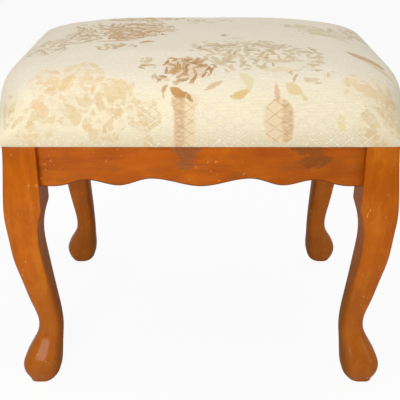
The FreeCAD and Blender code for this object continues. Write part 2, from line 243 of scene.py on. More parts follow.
def build_cushion_sheet():
    """The cover as a sheet of squares, pulled over the padding and returned under the board.
    Each point keeps its place on the flat cloth."""
    rows = section_table()
    side_run = rows[-1][0]
    whole_run = side_run + RETURN
    columns = 2 * round((whole_run + HALF_WIDTH - HALF_DEPTH) / STITCH)
    lines = 2 * round(whole_run / STITCH)
    deselect_all()
    bpy.ops.mesh.primitive_grid_add(
        x_subdivisions=columns, y_subdivisions=lines, size=2, location=(0, 0, 0))
    piece = named("seat_cushion")
    mesh = piece.data
    runs, levels, extras = zip(*rows)
    cloth = np.zeros((len(mesh.vertices), 3))
    for number, vertex in enumerate(mesh.vertices):
        across, along = vertex.co.x, vertex.co.y
        ring = max(abs(across), abs(along))
        if ring < 1e-6:
            vertex.co = (0, 0, SEAT_BOTTOM + CROWN)
            continue
        run = finer_at_lip(ring * whole_run - side_run) + side_run
        beyond = max(0.0, run - side_run)
        level = float(np.interp(run, runs, levels))
        extra = float(np.interp(run, runs, extras))
        x, y, normal_x, normal_y = ring_point(ring_sizes(level), across / ring, along / ring)
        cloth[number] = (x + normal_x * (extra + beyond), y + normal_y * (extra + beyond), 0)
        hang = max(0.0, 1 - level / EDGE_ROLL_SHARE) ** 2 * max(0.0, 1 - beyond / LIP_RUN)
        height = level * CROWN - LIP * hang
        inner_x, inner_y, _, _ = ring_point(RETURN_SIZES, across / ring, along / ring)
        x += (inner_x - x) * beyond / RETURN
        y += (inner_y - y) * beyond / RETURN
        x *= 1 + FRONT_TAPER * min(1.0, level / TAPER_FULL) * y / HALF_DEPTH
        height *= 1 + BACK_RISE * y / HALF_DEPTH
        vertex.co = (x, y, SEAT_BOTTOM + height)
    place = mesh.attributes.new("cloth_place", "FLOAT_VECTOR", "POINT")
    place.data.foreach_set("vector", cloth.ravel())
    return piece, columns


def close_bottom(piece, columns=0):
    """Closes the form under the board, where nothing shows, with a grid or with one face."""
    make_active(piece)
    bpy.ops.object.mode_set(mode="EDIT")
    bpy.ops.mesh.select_mode(type="EDGE")
    bpy.ops.mesh.select_all(action="DESELECT")
    bpy.ops.mesh.select_non_manifold()
    if columns:
        bpy.ops.mesh.fill_grid(span=columns)
    else:
        bpy.ops.mesh.edge_face_add()
    bpy.ops.mesh.select_all(action="SELECT")
    bpy.ops.mesh.normals_make_consistent(inside=False)
    bpy.ops.object.mode_set(mode="OBJECT")


def open_bottom(piece):
    """Takes the closing grid away again, so that it isn't made finer with the cover."""
    make_active(piece)
    bpy.ops.object.mode_set(mode="EDIT")
    bpy.ops.mesh.select_mode(type="FACE")
    bpy.ops.mesh.select_all(action="DESELECT")
    bpy.ops.object.mode_set(mode="OBJECT")
    for face in piece.data.polygons:
        inside = abs(face.center.x) < RETURN_SIZES[0] and abs(face.center.y) < RETURN_SIZES[1]
        face.select = inside and face.center.z < SEAT_BOTTOM + MM
    bpy.ops.object.mode_set(mode="EDIT")
    bpy.ops.mesh.delete(type="FACE")
    bpy.ops.object.mode_set(mode="OBJECT")


def swell(piece):
    """Starts a little smaller and blows the cushion up from inside, as its stuffing does.
    A point may end only so far from the padding's own form, which the foam keeps."""
    form = np.empty(len(piece.data.vertices) * 3)
    piece.data.vertices.foreach_get("co", form)
    form = form.reshape(-1, 3)
    normals = np.empty(form.size)
    piece.data.vertices.foreach_get("normal", normals)
    start = form - normals.reshape(-1, 3) * SLACK
    low = form[:, 2] < SEAT_BOTTOM + HELD_HEIGHT
    start[low] = form[low]
    piece.data.vertices.foreach_set("co", start.ravel())
    held = piece.vertex_groups.new(name="held")
    held.add([int(i) for i in np.flatnonzero(low)], 1.0, "REPLACE")
    make_active(piece)
    cloth = piece.modifiers.new("stuffing", "CLOTH")
    settings = cloth.settings
    settings.quality = 6
    settings.mass = 0.3
    settings.tension_stiffness = 25
    settings.compression_stiffness = 25
    settings.shear_stiffness = 10
    settings.bending_stiffness = 5
    settings.use_pressure = True
    settings.uniform_pressure_force = 4
    settings.vertex_group_mass = "held"
    settings.effector_weights.gravity = 0
    cloth.collision_settings.use_collision = False
    scene = bpy.context.scene
    for number in range(1, SWELL_FRAMES + 1):
        scene.frame_set(number)
    bpy.ops.object.modifier_apply(modifier="stuffing")
    scene.frame_set(1)
    end = np.empty(form.size)
    piece.data.vertices.foreach_get("co", end)
    move = end.reshape(-1, 3) - form
    far = np.linalg.norm(move, axis=1)
    over = far > CAP
    move[over] *= (CAP / far[over])[:, None]
    piece.data.vertices.foreach_set("co", (form + move).ravel())
    piece.data.update()
    piece.vertex_groups.clear()


def smooth_by_subdivision(piece, levels):
    """Makes the squares finer and rounds them."""
    make_active(piece)
    rounder = piece.modifiers.new("rounder", "SUBSURF")
    rounder.levels = levels
    rounder.render_levels = levels
    bpy.ops.object.modifier_apply(modifier="rounder")
    bpy.ops.object.shade_smooth()


cushion, columns = build_cushion_sheet()
close_bottom(cushion, columns)
swell(cushion)
open_bottom(cushion)
smooth_by_subdivision(cushion, 2)
close_bottom(cushion)


# The cloth's woven design, drawn on the cover in millimetres of flat cloth:
# U to the right from the seat's middle, V to the back, so the front edge has V near -240.

# Sprays of small leaves: U, V, half width, half height, turn in degrees, fullness, tone.
# Tone 0 is olive grey and 1 is tan brown.
SPRAYS = (
    (-82, 4, 50, 64, 0, 1.0, 0.85),
    (-92, -30, 30, 36, 0, 1.1, 1.0),
    (-98, -88, 28, 18, 0, 0.8, 0.7),
    (-142, -10, 40, 70, 0, 0.95, 0.55),
    (-184, -60, 32, 46, 20, 0.8, 0.4),
    (-72, 84, 62, 22, 0, 0.9, 0.8),
    (5, 62, 45, 22, 0, 0.45, 0.4),
    (-15, -144, 32, 24, -12, 1.25, 1.0),
    (-60, -129, 9, 7, 0, 0.9, 0.3),
    (-58, -143, 12, 6, 0, 0.9, 0.8),
    (-38, -160, 16, 12, 0, 0.8, 0.7),
    (48, -96, 66, 40, 0, 0.8, 0.45),
    (52, -130, 58, 26, 0, 0.75, 0.3),
    (112, -120, 40, 34, -15, 0.6, 0.35),
    (118, -158, 32, 16, 0, 0.5, 0.3),
    (118, 34, 20, 16, 0, 0.7, 0.3),
    (160, 0, 44, 34, 0, 0.55, 0.4),
    (30, -30, 12, 10, 0, 0.7, 0.7),
    (-20, 130, 70, 20, 0, 0.7, 0.7),
    (120, 140, 60, 30, 0, 0.8, 0.6),
    (-150, 190, 60, 40, 0, 0.9, 0.8),
    (60, 215, 70, 30, 0, 0.9, 0.5),
    (215, 30, 40, 50, 0, 0.8, 0.5),
    (250, -30, 26, 60, 0, 0.7, 0.6),
    (-240, 20, 30, 60, 0, 0.7, 0.6),
    (-262, -60, 26, 40, 0, 0.6, 0.4),
)

# Blooms: U, V, radius, petals, turn, strength, tone. Tone 0 is pale yellow and 1 is peach.
BLOOMS = (
    (-150, -186, 34, 6, 10, 0.85, 0.25),
    (-172, -164, 22, 5, 40, 0.7, 0.8),
    (-128, -158, 26, 5, 0, 0.7, 0.7),
    (-92, -184, 24, 5, 25, 1.0, 0.35),
    (-104, -214, 24, 6, 60, 0.65, 0.2),
    (-62, -204, 20, 5, 15, 0.9, 0.2),
    (-180, -212, 28, 6, 30, 0.6, 0.3),
    (-222, -190, 26, 5, 0, 0.5, 0.4),
    (198, -178, 26, 6, 20, 0.75, 0.45),
    (168, -172, 18, 5, 50, 0.7, 0.35),
    (226, -196, 30, 6, 0, 0.8, 0.3),
    (186, -222, 24, 5, 30, 0.55, 0.5),
    (-190, 110, 34, 6, 0, 0.6, 0.5),
    (10, 150, 38, 6, 10, 0.7, 0.4),
    (190, 160, 34, 6, 0, 0.6, 0.5),
    (262, 60, 30, 5, 0, 0.6, 0.3),
    (-262, 80, 30, 5, 0, 0.6, 0.3),
    (-30, 228, 28, 6, 0, 0.7, 0.6),
)

# Larger figures as leaves: U, V, half length, half width, turn in degrees, bend, strength, colour.
LEAVES = (
    (-25, -179, 11, 5.5, 150, 0.1, 0.95, "#BE8A4E"),
    (-13, -184, 8, 2.6, 125, 0.0, 0.9, "#A98450"),
    (-39, -177, 10, 2.4, 70, 0.5, 0.8, "#C09060"),
    (-26, -166, 9, 2.2, 60, -0.6, 0.7, "#B49A68"),
    (-44, -165, 8, 2.0, 40, 0.6, 0.7, "#B08A5C"),
    (14, -171, 12, 3.4, 28, 0.0, 0.7, "#C9A878"),
    (49, -165, 15, 6.0, 118, -0.35, 0.6, "#D6C690"),
    (42, -181, 12, 5.0, 22, -0.2, 0.85, "#D6B673"),
    (100, -175, 12, 6.5, 145, 0.1, 0.75, "#D8C288"),
    (111, -184, 7, 2.6, 130, 0.0, 0.65, "#CFBB82"),
    (82, -179, 13, 3.4, 96, 0.1, 0.8, "#D9AE88"),
    (188, -108, 30, 7.0, 140, 0.1, 0.75, "#B98F62"),
    (200, -126, 30, 5.0, 140, 0.1, 0.5, "#CDB288"),
    (150, 0, 58, 20, 122, 0.05, 0.38, "#CBB78E"),
    (152, -214, 13, 4.2, 96, 0.0, 0.7, "#E6D490"),
    (-57, -234, 9, 6.0, 90, 0.0, 0.7, "#D9BF90"),
    (-44, -240, 9, 3.5, 150, 0.0, 0.5, "#CDBC98"),
    (-177, -195, 8, 4.0, 160, 0.3, 0.7, "#EDBE88"),
    (-168, -204, 8, 2.4, 120, 0.2, 0.5, "#EDC8A0"),
    (-128, -238, 5, 3.0, 90, 0.0, 0.6, "#DCC48E"),
    (-262, -178, 12, 3.0, 120, 0.0, 0.6, "#C9B890"),
    (40, -50, 18, 3.0, 15, 0.1, 0.5, "#C8B090"),
    (16, -88, 22, 3.4, 8, 0.1, 0.7, "#BFA07C"),
    (84, -90, 20, 4.0, 0, 0.1, 0.7, "#C9A88C"),
    (88, -132, 22, 4.2, 4, 0.1, 0.65, "#D2B490"),
    (86, -150, 22, 4.2, 0, 0.1, 0.6, "#DCC49A"),
    (-100, -62, 26, 3.2, 6, 0.1, 0.85, "#C59A74"),
    (-112, 6, 20, 3.6, -6, 0.1, 0.8, "#BC9474"),
    (-64, -70, 12, 4.0, 30, 0.3, 0.9, "#B98048"),
)

# Latticed figures: V of each level and the half widths there, round a middle U.
VASE_MIDDLE = 84
VASE = (
    (-184, 3), (-188, 9), (-192, 13), (-199, 16.5), (-216, 16.5), (-228, 14.5), (-234, 13),
    (-236, 0))
COLUMN_MIDDLE = -18
COLUMN = (
    (-180, 6), (-185, 15), (-192, 14), (-198, 12), (-210, 11.5), (-225, 11.5), (-250, 11),
    (-256, 0))


# Depth in a figure where there is none, in millimetres
OUTSIDE = -8.0


def cloth_points(piece):
    """U and V of each point of the cover."""
    place = np.empty(len(piece.data.vertices) * 3)
    piece.data.attributes["cloth_place"].data.foreach_get("vector", place)
    place = place.reshape(-1, 3) / MM
    return place[:, 0], place[:, 1]


def turned(u, v, centre_u, centre_v, degrees):
    """Distances along and across a figure that is turned about its middle."""
    angle = math.radians(degrees)
    du, dv = u - centre_u, v - centre_v
    return du * math.cos(angle) + dv * math.sin(angle), dv * math.cos(angle) - du * math.sin(angle)


def soft_step(value, low, high):
    """Rises smoothly from 0 to 1 between two values."""
    share = np.clip((value - low) / (high - low), 0, 1)
    return share * share * (3 - 2 * share)


def put(piece, name, values, kind="FLOAT"):
    """Keeps one value or colour for each point of the cover."""
    layer = piece.data.attributes.new(name, kind, "POINT")
    field = "value" if kind == "FLOAT" else "color"
    layer.data.foreach_set(field, np.ascontiguousarray(values, dtype=float).ravel())


def draw_sprays(piece):
    """How full of leaves each point is, and the tone of the sprays that reach it."""
    u, v = cloth_points(piece)
    fullness = np.zeros(len(u))
    tone = np.zeros(len(u))
    weight = np.full(len(u), 1e-3)
    for centre_u, centre_v, half_u, half_v, turn, strength, shade in SPRAYS:
        du, dv = turned(u, v, centre_u, centre_v, turn)
        reach = np.hypot(du / half_u, dv / half_v)
        part = strength * (1 - soft_step(reach, 0.55, 1.12))
        fullness = np.maximum(fullness, part)
        tone += shade * part ** 2
        weight += part ** 2
    put(piece, "spray", fullness)
    put(piece, "spray_tone", tone / weight)


def draw_blooms(piece):
    """Open flowers: petals round a middle, in two rings, with a pale line between the rings and
    between petals. Distances are shares of the flower's radius."""
    u, v = cloth_points(piece)
    strength = np.zeros(len(u))
    tone = np.zeros(len(u))
    for centre_u, centre_v, radius, petals, turn, full, shade in BLOOMS:
        du, dv = u - centre_u, v - centre_v
        reach = np.hypot(du, dv) / radius
        angle = np.arctan2(dv, du) + math.radians(turn)
        at_middle = np.abs(np.cos(angle * petals / 2))
        at_side = np.abs(np.sin(angle * petals / 2))
        outer_edge = 0.78 + 0.2 * at_middle
        inner_edge = 0.42 + 0.12 * at_side
        petal = 1 - soft_step(reach - outer_edge, -0.07, 0.07)
        between_petals = 0.55 + 0.45 * soft_step(at_side, 0.0, 0.35)
        between_rings = 1 - 0.55 * np.exp(-((reach - inner_edge) / 0.07) ** 2)
        part = full * petal * between_petals * between_rings
        tone = np.where(part > strength, shade + 0.25 * np.cos(angle * petals + turn), tone)
        strength = np.maximum(strength, part)
    put(piece, "bloom", strength)
    put(piece, "bloom_tone", np.clip(tone, 0, 1))


def draw_figures(piece):
    """Leaves, the vase and the column, by how deep in millimetres each point lies inside them."""
    u, v = cloth_points(piece)
    depth = np.full(len(u), OUTSIDE)
    colour = np.tile(np.array(linear("#DCC49A")), (len(u), 1))
    strength = np.zeros(len(u))
    for centre_u, centre_v, half_length, half_width, turn, bend, full, shade in LEAVES:
        along, across = turned(u, v, centre_u, centre_v, turn)
        across = across + bend * (along ** 2 / half_length - half_length / 3)
        width = half_width * (1 - np.clip(along / half_length, -1.3, 1.3) ** 2)
        inside = width - np.abs(across)
        best = inside > depth
        depth = np.maximum(depth, inside)
        colour[best] = linear(shade)
        strength[best] = full
    put(piece, "leaf_depth", depth)
    put(piece, "leaf_strength", strength)
    put(piece, "leaf_colour", colour, "FLOAT_COLOR")

    lattice = np.full(len(u), OUTSIDE)
    for middle, levels in ((VASE_MIDDLE, VASE), (COLUMN_MIDDLE, COLUMN)):
        heights = [level for level, _ in reversed(levels)]
        halves = [half for _, half in reversed(levels)]
        half = np.interp(v, heights, halves, left=OUTSIDE, right=OUTSIDE)
        lattice = np.maximum(lattice, half - np.abs(u - middle))
    put(piece, "lattice_depth", lattice)

    # The vase is darker on its right side, and the column on its left
    vase_side = soft_step(u, VASE_MIDDLE + 2, VASE_MIDDLE + 6)
    column_side = 1 - soft_step(u, COLUMN_MIDDLE - 2, COLUMN_MIDDLE + 3)
    nearer_vase = u > (VASE_MIDDLE + COLUMN_MIDDLE) / 2
    put(piece, "lattice_tone", np.where(nearer_vase, vase_side, column_side))

    # The trellis covers the front face, and shows best along its middle
    front = 1 - soft_step(v, -196, -176)
    middle = soft_step(u, -78, -50) * (1 - soft_step(u, 165, 205))
    put(piece, "trellis", front * (0.3 + 0.7 * middle))


draw_sprays(cushion)
draw_blooms(cushion)
draw_figures(cushion)


# Woven jacquard: matt cotton ground with floats of brighter yarn


def mottling(tree, vector, layers):
    """Random light and dark patches, one pattern for each layer. A layer is the size of its patches
    in millimetres, its detail, its roughness and its shift in patches."""
    patterns = []
    for size, detail, rough, shift in layers:
        mapped = add(tree, "Mapping", {"Vector": vector, "Scale": per_patch(*size), "Location": shift})
        patterns.append(add(tree, "TexNoise", {
            "Vector": mapped, "Scale": 1.0, "Detail": detail, "Roughness": rough}))
    return patterns


# How much a small leaf curls for its width, and how far from its middle the curl crosses its axis,
# as a squared share of its length
LEAF_CURL = 3.2
CURL_MIDDLE = 0.3


def leaf_strokes(tree, cloth, cell, length, width, seed, fullness, ragged):
    """Small leaves, one in each random cell, turned at random. Gives how much a point is leaf, how
    near it is to the leaf's outline, and the leaf's random value."""
    place = add(tree, "Mapping", {
        "Vector": cloth, "Scale": per_patch(cell, cell, cell), "Location": (seed, seed * 2, 0)})
    cells = add(tree, "TexVoronoi", {"Vector": place, "Scale": 1.0, "Randomness": 1.0},
                voronoi_dimensions="2D", feature="F1")
    local = add(tree, "VectorMath", {0: place, 1: cells.outputs["Position"]}, operation="SUBTRACT")
    turn, rank, chance = add(tree, "SeparateColor", {0: cells.outputs["Color"]}).outputs
    angle = add(tree, "Math", {0: turn, 1: 2 * math.pi}, operation="MULTIPLY")
    spun = add(tree, "VectorRotate", {"Vector": local, "Angle": angle}, rotation_type="Z_AXIS")
    run, side, _ = add(tree, "SeparateXYZ", {0: spun}).outputs
    along = add(tree, "Math", {0: run, 1: cell / length}, operation="MULTIPLY")
    along_squared = add(tree, "Math", {0: along, 1: along}, operation="MULTIPLY")

    # The leaf bends to one side or the other, and its width falls to nothing at its tips
    bend = LEAF_CURL * width / cell
    curl = add(tree, "Math", {0: chance, 1: bend, 2: -bend / 2}, operation="MULTIPLY_ADD")
    from_curl = add(tree, "Math", {0: along_squared, 1: CURL_MIDDLE}, operation="SUBTRACT")
    bowed = add(tree, "Math", {0: from_curl, 1: curl, 2: side}, operation="MULTIPLY_ADD")
    across = add(tree, "Math", {0: bowed}, operation="ABSOLUTE")
    half = add(tree, "Math", {0: along_squared, 1: -width / cell, 2: width / cell}, operation="MULTIPLY_ADD")
    depth = add(tree, "Math", {0: half, 1: across}, operation="SUBTRACT")
    inside = add(tree, "Math", {0: ragged, 1: 1 / cell, 2: depth}, operation="MULTIPLY_ADD")
    shape = add(tree, "MapRange", {0: inside, 1: -0.03, 2: 0.04}, **SMOOTH)
    rim = add(tree, "MapRange", {0: inside, 1: 0.08, 2: 0.02}, **SMOOTH)

    # A leaf is left out where the spray is thinner than the leaf's own rank
    spare = add(tree, "Math", {0: fullness, 1: rank}, operation="SUBTRACT")
    there = add(tree, "MapRange", {0: spare, 1: 0.0, 2: 0.12}, **SMOOTH)
    stroke = add(tree, "Math", {0: shape, 1: there}, operation="MULTIPLY")
    return stroke, rim, chance


# Strokes in millimetres: spacing, length each way, width each way, seed, and how strong they are
PETAL_STROKES = ((30, 24, 7.5, 13.0, 0.5), (19, 16, 5.0, 17.0, 0.5), (12, 10, 2.6, 21.0, 0.45))
LEAF_STROKES = ((23, 18, 3.2, 0.0, 0.58), (14, 11.5, 2.4, 5.0, 0.7), (9, 7.5, 1.6, 9.0, 0.8))

# Leaves of a spray: two colours that a leaf lies between, its outline, and how much that shows
OLIVE = ("#B8A676", "#D3C098", "#A08A58", 0.6)
TAN = ("#A97C44", "#CCA572", "#8E6232", 0.5)

# Clouds, ribs along the weft, flecks and yarns. The ribs and flecks are drawn three times as coarse
# as the real 0.7 mm, to show at all.
CLOTH_PATTERNS = (
    ((60, 60, 60), 3, 0.5, (0, 0, 0)),
    ((26, 2.1, 10), 2, 0.6, (0, 0, 0)),
    ((3.2, 1.7, 2), 1, 0.5, (7, 3, 0)),
    ((9, 3, 5), 2, 0.6, (3, 9, 0)),
)
DIAMOND_WIDTH = 20 * MM
DIAMOND_HEIGHT = 15 * MM


def jacquard_ground(tree, to_right, to_back, clouds, rib, fleck):
    """Creamier on the front, back and side faces and greyer on the top: painted light, for how the light
    falls on them. Darker at the low edge, where the cloth turns under: painted shade.
    """
    front = add(tree, "MapRange", {0: to_back, 1: -0.150, 2: -0.200}, **SMOOTH)
    sideways = add(tree, "Math", {0: to_right}, operation="ABSOLUTE")
    ends = add(tree, "MapRange", {0: sideways, 1: 0.200, 2: 0.250, 4: 0.8}, **SMOOTH)
    back = add(tree, "MapRange", {0: to_back, 1: 0.160, 2: 0.210, 4: 0.8}, **SMOOTH)
    upright_painted_light = add(tree, "Math", {0: ends, 1: back}, operation="MAXIMUM")
    upright_painted_light = add(tree, "Math", {0: front, 1: upright_painted_light}, operation="MAXIMUM")
    # Painted light: the upright faces are tinted creamier than the top
    ground = add(tree, "Mix", {0: upright_painted_light, 6: "#DED4C0", 7: "#F0E4C4"}, **COLOURS)
    # The first row paints shade on the low edge, where the cloth turns under
    for pattern, start, full, share, shade in (
            (to_back, -0.214, -0.240, 0.85, "#D9C9A5"),
            (clouds, 0.4, 0.75, 0.35, "#E6DAC4"),
            (rib, 0.46, 0.62, 0.2, "#CFC3A8"),
            (fleck, 0.56, 0.72, 0.45, "#FBF3DC")):
        amount = add(tree, "MapRange", {0: pattern, 1: start, 2: full, 4: share}, **SMOOTH)
        ground = add(tree, "Mix", {0: amount, 6: ground, 7: shade}, **COLOURS)
    return ground


def jacquard_blooms(tree, cloth, colour, bloom, tint, yarns, torn):
    """A soft wash, and petals on it that lie any way round."""
    patchy = add(tree, "MapRange", {0: yarns, 1: 0.34, 2: 0.62, 3: 0.3, 4: 0.65}, **SMOOTH)
    wash = add(tree, "Math", {0: bloom, 1: patchy}, operation="MULTIPLY")
    washed = add(tree, "Mix", {0: tint, 6: "#E1CDA2", 7: "#E0C49C"}, **COLOURS)
    colour = add(tree, "Mix", {0: wash, 6: colour, 7: washed}, **COLOURS)
    tinted = add(tree, "Math", {0: tint, 1: 0.4}, operation="MULTIPLY")
    for cell, length, width, seed, share in PETAL_STROKES:
        stroke, rim, chance = leaf_strokes(tree, cloth, cell, length, width, seed, bloom, torn)
        deep = add(tree, "Math", {0: chance, 1: 0.7, 2: tinted}, operation="MULTIPLY_ADD")
        petal = add(tree, "Mix", {0: deep, 6: "#DFC896", 7: "#D6B582"}, **COLOURS)
        outline = add(tree, "Math", {0: rim, 1: 0.35}, operation="MULTIPLY")
        petal = add(tree, "Mix", {0: outline, 6: petal, 7: "#C2A26C"}, **COLOURS)
        opacity = add(tree, "Math", {0: stroke, 1: share}, operation="MULTIPLY")
        colour = add(tree, "Mix", {0: opacity, 6: colour, 7: petal}, **COLOURS)
    return colour


def jacquard_sprays(tree, cloth, colour, spray, tone, yarns, nibbled):
    """Layers of leaf strokes over a tan underlay, each leaf outlined by darker yarn."""
    dense = add(tree, "Math", {0: spray, 1: tone}, operation="MULTIPLY")
    thick = add(tree, "MapRange", {0: dense, 1: 0.45, 2: 1.1, 4: 0.55}, **SMOOTH)
    patchy = add(tree, "MapRange", {0: yarns, 1: 0.35, 2: 0.6, 3: 0.5, 4: 1.0}, **SMOOTH)
    underlay = add(tree, "Math", {0: thick, 1: patchy}, operation="MULTIPLY")
    colour = add(tree, "Mix", {0: underlay, 6: colour, 7: "#CBAC84"}, **COLOURS)
    for cell, length, width, seed, share in LEAF_STROKES:
        stroke, rim, chance = leaf_strokes(tree, cloth, cell, length, width, seed, spray, nibbled)
        kinds = []
        for darker, paler, outline, shown in (OLIVE, TAN):
            leaf = add(tree, "Mix", {0: chance, 6: darker, 7: paler}, **COLOURS)
            edge = add(tree, "Math", {0: rim, 1: shown}, operation="MULTIPLY")
            kinds.append(add(tree, "Mix", {0: edge, 6: leaf, 7: outline}, **COLOURS))
        strength = add(tree, "MapRange", {0: tone, 1: 0.2, 2: 1.0, 3: 0.8 * share, 4: 1.2 * share}, **SMOOTH)
        opacity = add(tree, "Math", {0: stroke, 1: strength}, operation="MULTIPLY")
        leaf = add(tree, "Mix", {0: tone, 6: kinds[0], 7: kinds[1]}, **COLOURS)
        colour = add(tree, "Mix", {0: opacity, 6: colour, 7: leaf}, **COLOURS)
    return colour


def jacquard_trellis(tree, to_right, to_back, yarns, fleck):
    """How much a point lies on the lines of the trellis of diamonds, and how much just beside them, where a
    shadow is painted.
    """
    wobble = add(tree, "Math", {0: yarns, 1: 0.12, 2: -0.06}, operation="MULTIPLY_ADD")
    distances = []
    for side in (1, -1):
        across = add(tree, "Math", {0: to_right, 1: side / DIAMOND_WIDTH}, operation="MULTIPLY")
        slant = add(tree, "Math", {0: to_back, 1: 1 / DIAMOND_HEIGHT, 2: across}, operation="MULTIPLY_ADD")
        strayed = add(tree, "Math", {0: slant, 1: wobble}, operation="ADD")
        place = add(tree, "Math", {0: strayed}, operation="FRACT")
        signed = add(tree, "Math", {0: place, 1: 0.5}, operation="SUBTRACT")
        distances.append(add(tree, "Math", {0: signed}, operation="ABSOLUTE"))
    nearest = add(tree, "Math", {0: distances[0], 1: distances[1]}, operation="MINIMUM")
    whole_line = add(tree, "MapRange", {0: nearest, 1: 0.07, 2: 0.025}, **SMOOTH)
    broken = add(tree, "MapRange", {0: fleck, 1: 0.35, 2: 0.6, 3: 0.35, 4: 1.0}, **SMOOTH)
    line = add(tree, "Math", {0: whole_line, 1: broken}, operation="MULTIPLY")
    beside = add(tree, "MapRange", {0: nearest, 1: 0.13, 2: 0.07}, **SMOOTH)
    return line, beside


def floral_jacquard():
    """Cream cotton and rayon jacquard. Its floats lie flat and shine a little, and its ground is
    matt and ribbed."""
    material, tree = new_material("woven_cotton_jacquard_cream_floral")
    drawn = {}
    for name in ("spray", "spray_tone", "bloom", "bloom_tone", "leaf_depth", "leaf_strength",
                 "lattice_depth", "lattice_tone", "trellis"):
        drawn[name] = add(tree, "Attribute", attribute_name=name).outputs["Fac"]
    leaf_colour = add(tree, "Attribute", attribute_name="leaf_colour").outputs["Color"]
    cloth = add(tree, "Attribute", attribute_name="cloth_place").outputs["Vector"]
    to_right, to_back, _ = add(tree, "SeparateXYZ", {0: cloth}).outputs
    clouds, rib, fleck, yarns = mottling(tree, cloth, CLOTH_PATTERNS)
    bloom = drawn["bloom"]

    # The petals' edges stray by up to 4.5 mm, and the small leaves' edges by less
    torn = add(tree, "Math", {0: yarns, 1: 9.0, 2: -4.5}, operation="MULTIPLY_ADD")
    nibbled = add(tree, "Math", {0: torn, 1: 0.3}, operation="MULTIPLY")
    colour = jacquard_ground(tree, to_right, to_back, clouds, rib, fleck)
    colour = jacquard_blooms(tree, cloth, colour, bloom, drawn["bloom_tone"], yarns, torn)
    colour = jacquard_sprays(tree, cloth, colour, drawn["spray"], drawn["spray_tone"], yarns, nibbled)

    # Vase and column, with soft ragged edges and paler yarns
    ragged = add(tree, "Math", {0: yarns, 1: 7.0, 2: -3.5}, operation="MULTIPLY_ADD")
    lattice = add(tree, "Math", {0: drawn["lattice_depth"], 1: ragged}, operation="ADD")
    lattice = add(tree, "MapRange", {0: lattice, 1: -1.6, 2: 2.4}, **SMOOTH)
    figure = add(tree, "Mix", {0: drawn["lattice_tone"], 6: "#E5CCA2", 7: "#CEA678"}, **COLOURS)
    paler = add(tree, "MapRange", {0: yarns, 1: 0.4, 2: 0.65, 4: 0.5}, **SMOOTH)
    figure = add(tree, "Mix", {0: paler, 6: figure, 7: "#EFDDBC"}, **COLOURS)
    opacity = add(tree, "Math", {0: lattice, 1: 0.85}, operation="MULTIPLY")
    colour = add(tree, "Mix", {0: opacity, 6: colour, 7: figure}, **COLOURS)

    # Larger leaves
    leaf = add(tree, "Math", {0: ragged, 1: 0.6, 2: drawn["leaf_depth"]}, operation="MULTIPLY_ADD")
    leaf = add(tree, "MapRange", {0: leaf, 1: -0.6, 2: 1.4}, **SMOOTH)
    leaf = add(tree, "Math", {0: leaf, 1: drawn["leaf_strength"]}, operation="MULTIPLY")
    colour = add(tree, "Mix", {0: leaf, 6: colour, 7: leaf_colour}, **COLOURS)

    # The trellis is darker than the vase and column. On the ground its lines are pale yarn lifted by a
    # painted highlight, with a painted shadow just beside them.
    line, beside = jacquard_trellis(tree, to_right, to_back, yarns, fleck)
    patchy = add(tree, "MapRange", {0: clouds, 1: 0.38, 2: 0.62, 3: 0.35, 4: 1.0}, **SMOOTH)
    seen = add(tree, "Math", {0: drawn["trellis"], 1: patchy}, operation="MULTIPLY")
    pale_line = add(tree, "Math", {0: line, 1: seen}, operation="MULTIPLY")
    painted_trellis_shadow = add(tree, "Math", {0: beside, 1: seen}, operation="MULTIPLY")
    on_ground = add(tree, "Math", {0: 1.0, 1: lattice}, operation="SUBTRACT")
    for part, ground_kind, share, shade in (
            (line, lattice, 0.55, "#BE9468"),
            (painted_trellis_shadow, on_ground, 0.5, "#CDBB92"),
            (pale_line, on_ground, 0.85, "#FDF7E4")):
        here = add(tree, "Math", {0: part, 1: ground_kind}, operation="MULTIPLY")
        opacity = add(tree, "Math", {0: here, 1: share}, operation="MULTIPLY")
        colour = add(tree, "Mix", {0: opacity, 6: colour, 7: shade}, **COLOURS)

    height = add(tree, "Math", {0: rib, 1: 0.5}, operation="MULTIPLY")
    for part, rise in ((fleck, 0.3), (pale_line, -0.5), (bloom, 0.2)):
        height = add(tree, "Math", {0: part, 1: rise, 2: height}, operation="MULTIPLY_ADD")
    bump = add(tree, "Bump", {"Height": height, "Strength": 0.5, "Distance": 0.6 * MM})
    rough = add(tree, "MapRange", {0: bloom, 1: 0.0, 2: 1.0, 3: 0.85, 4: 0.68}, **SMOOTH)
    surface = add(tree, "BsdfPrincipled", {
        "Base Color": colour, "Normal": bump, "Roughness": rough, "Specular IOR Level": 0.3,
        "Sheen Weight": 0.12, "Sheen Roughness": 0.45})
    add(tree, "OutputMaterial", {"Surface": surface})
    return material


# Stained wood: beech stained to a honey orange under a satin lacquer, worn in places

# Stain of the body, its dark and its light streaks, and how much the dark clouds show
STAIN = {
    "leg": ("#BE6004", "#A85002", "#CC7614", 0.65),
    "apron": ("#BA5A00", "#9E4600", "#CA6C06", 0.45),
}
GRAIN_ALONG = {"x": (0, 1, 1), "y": (1, 0, 1), "z": (1, 1, 0)}
GRAIN_SWAY = 12 * MM


def along_grain(fine, long, grain):
    """The size of a grain figure, long on the grain's own axis."""
    return tuple(fine if across else long for across in GRAIN_ALONG[grain])


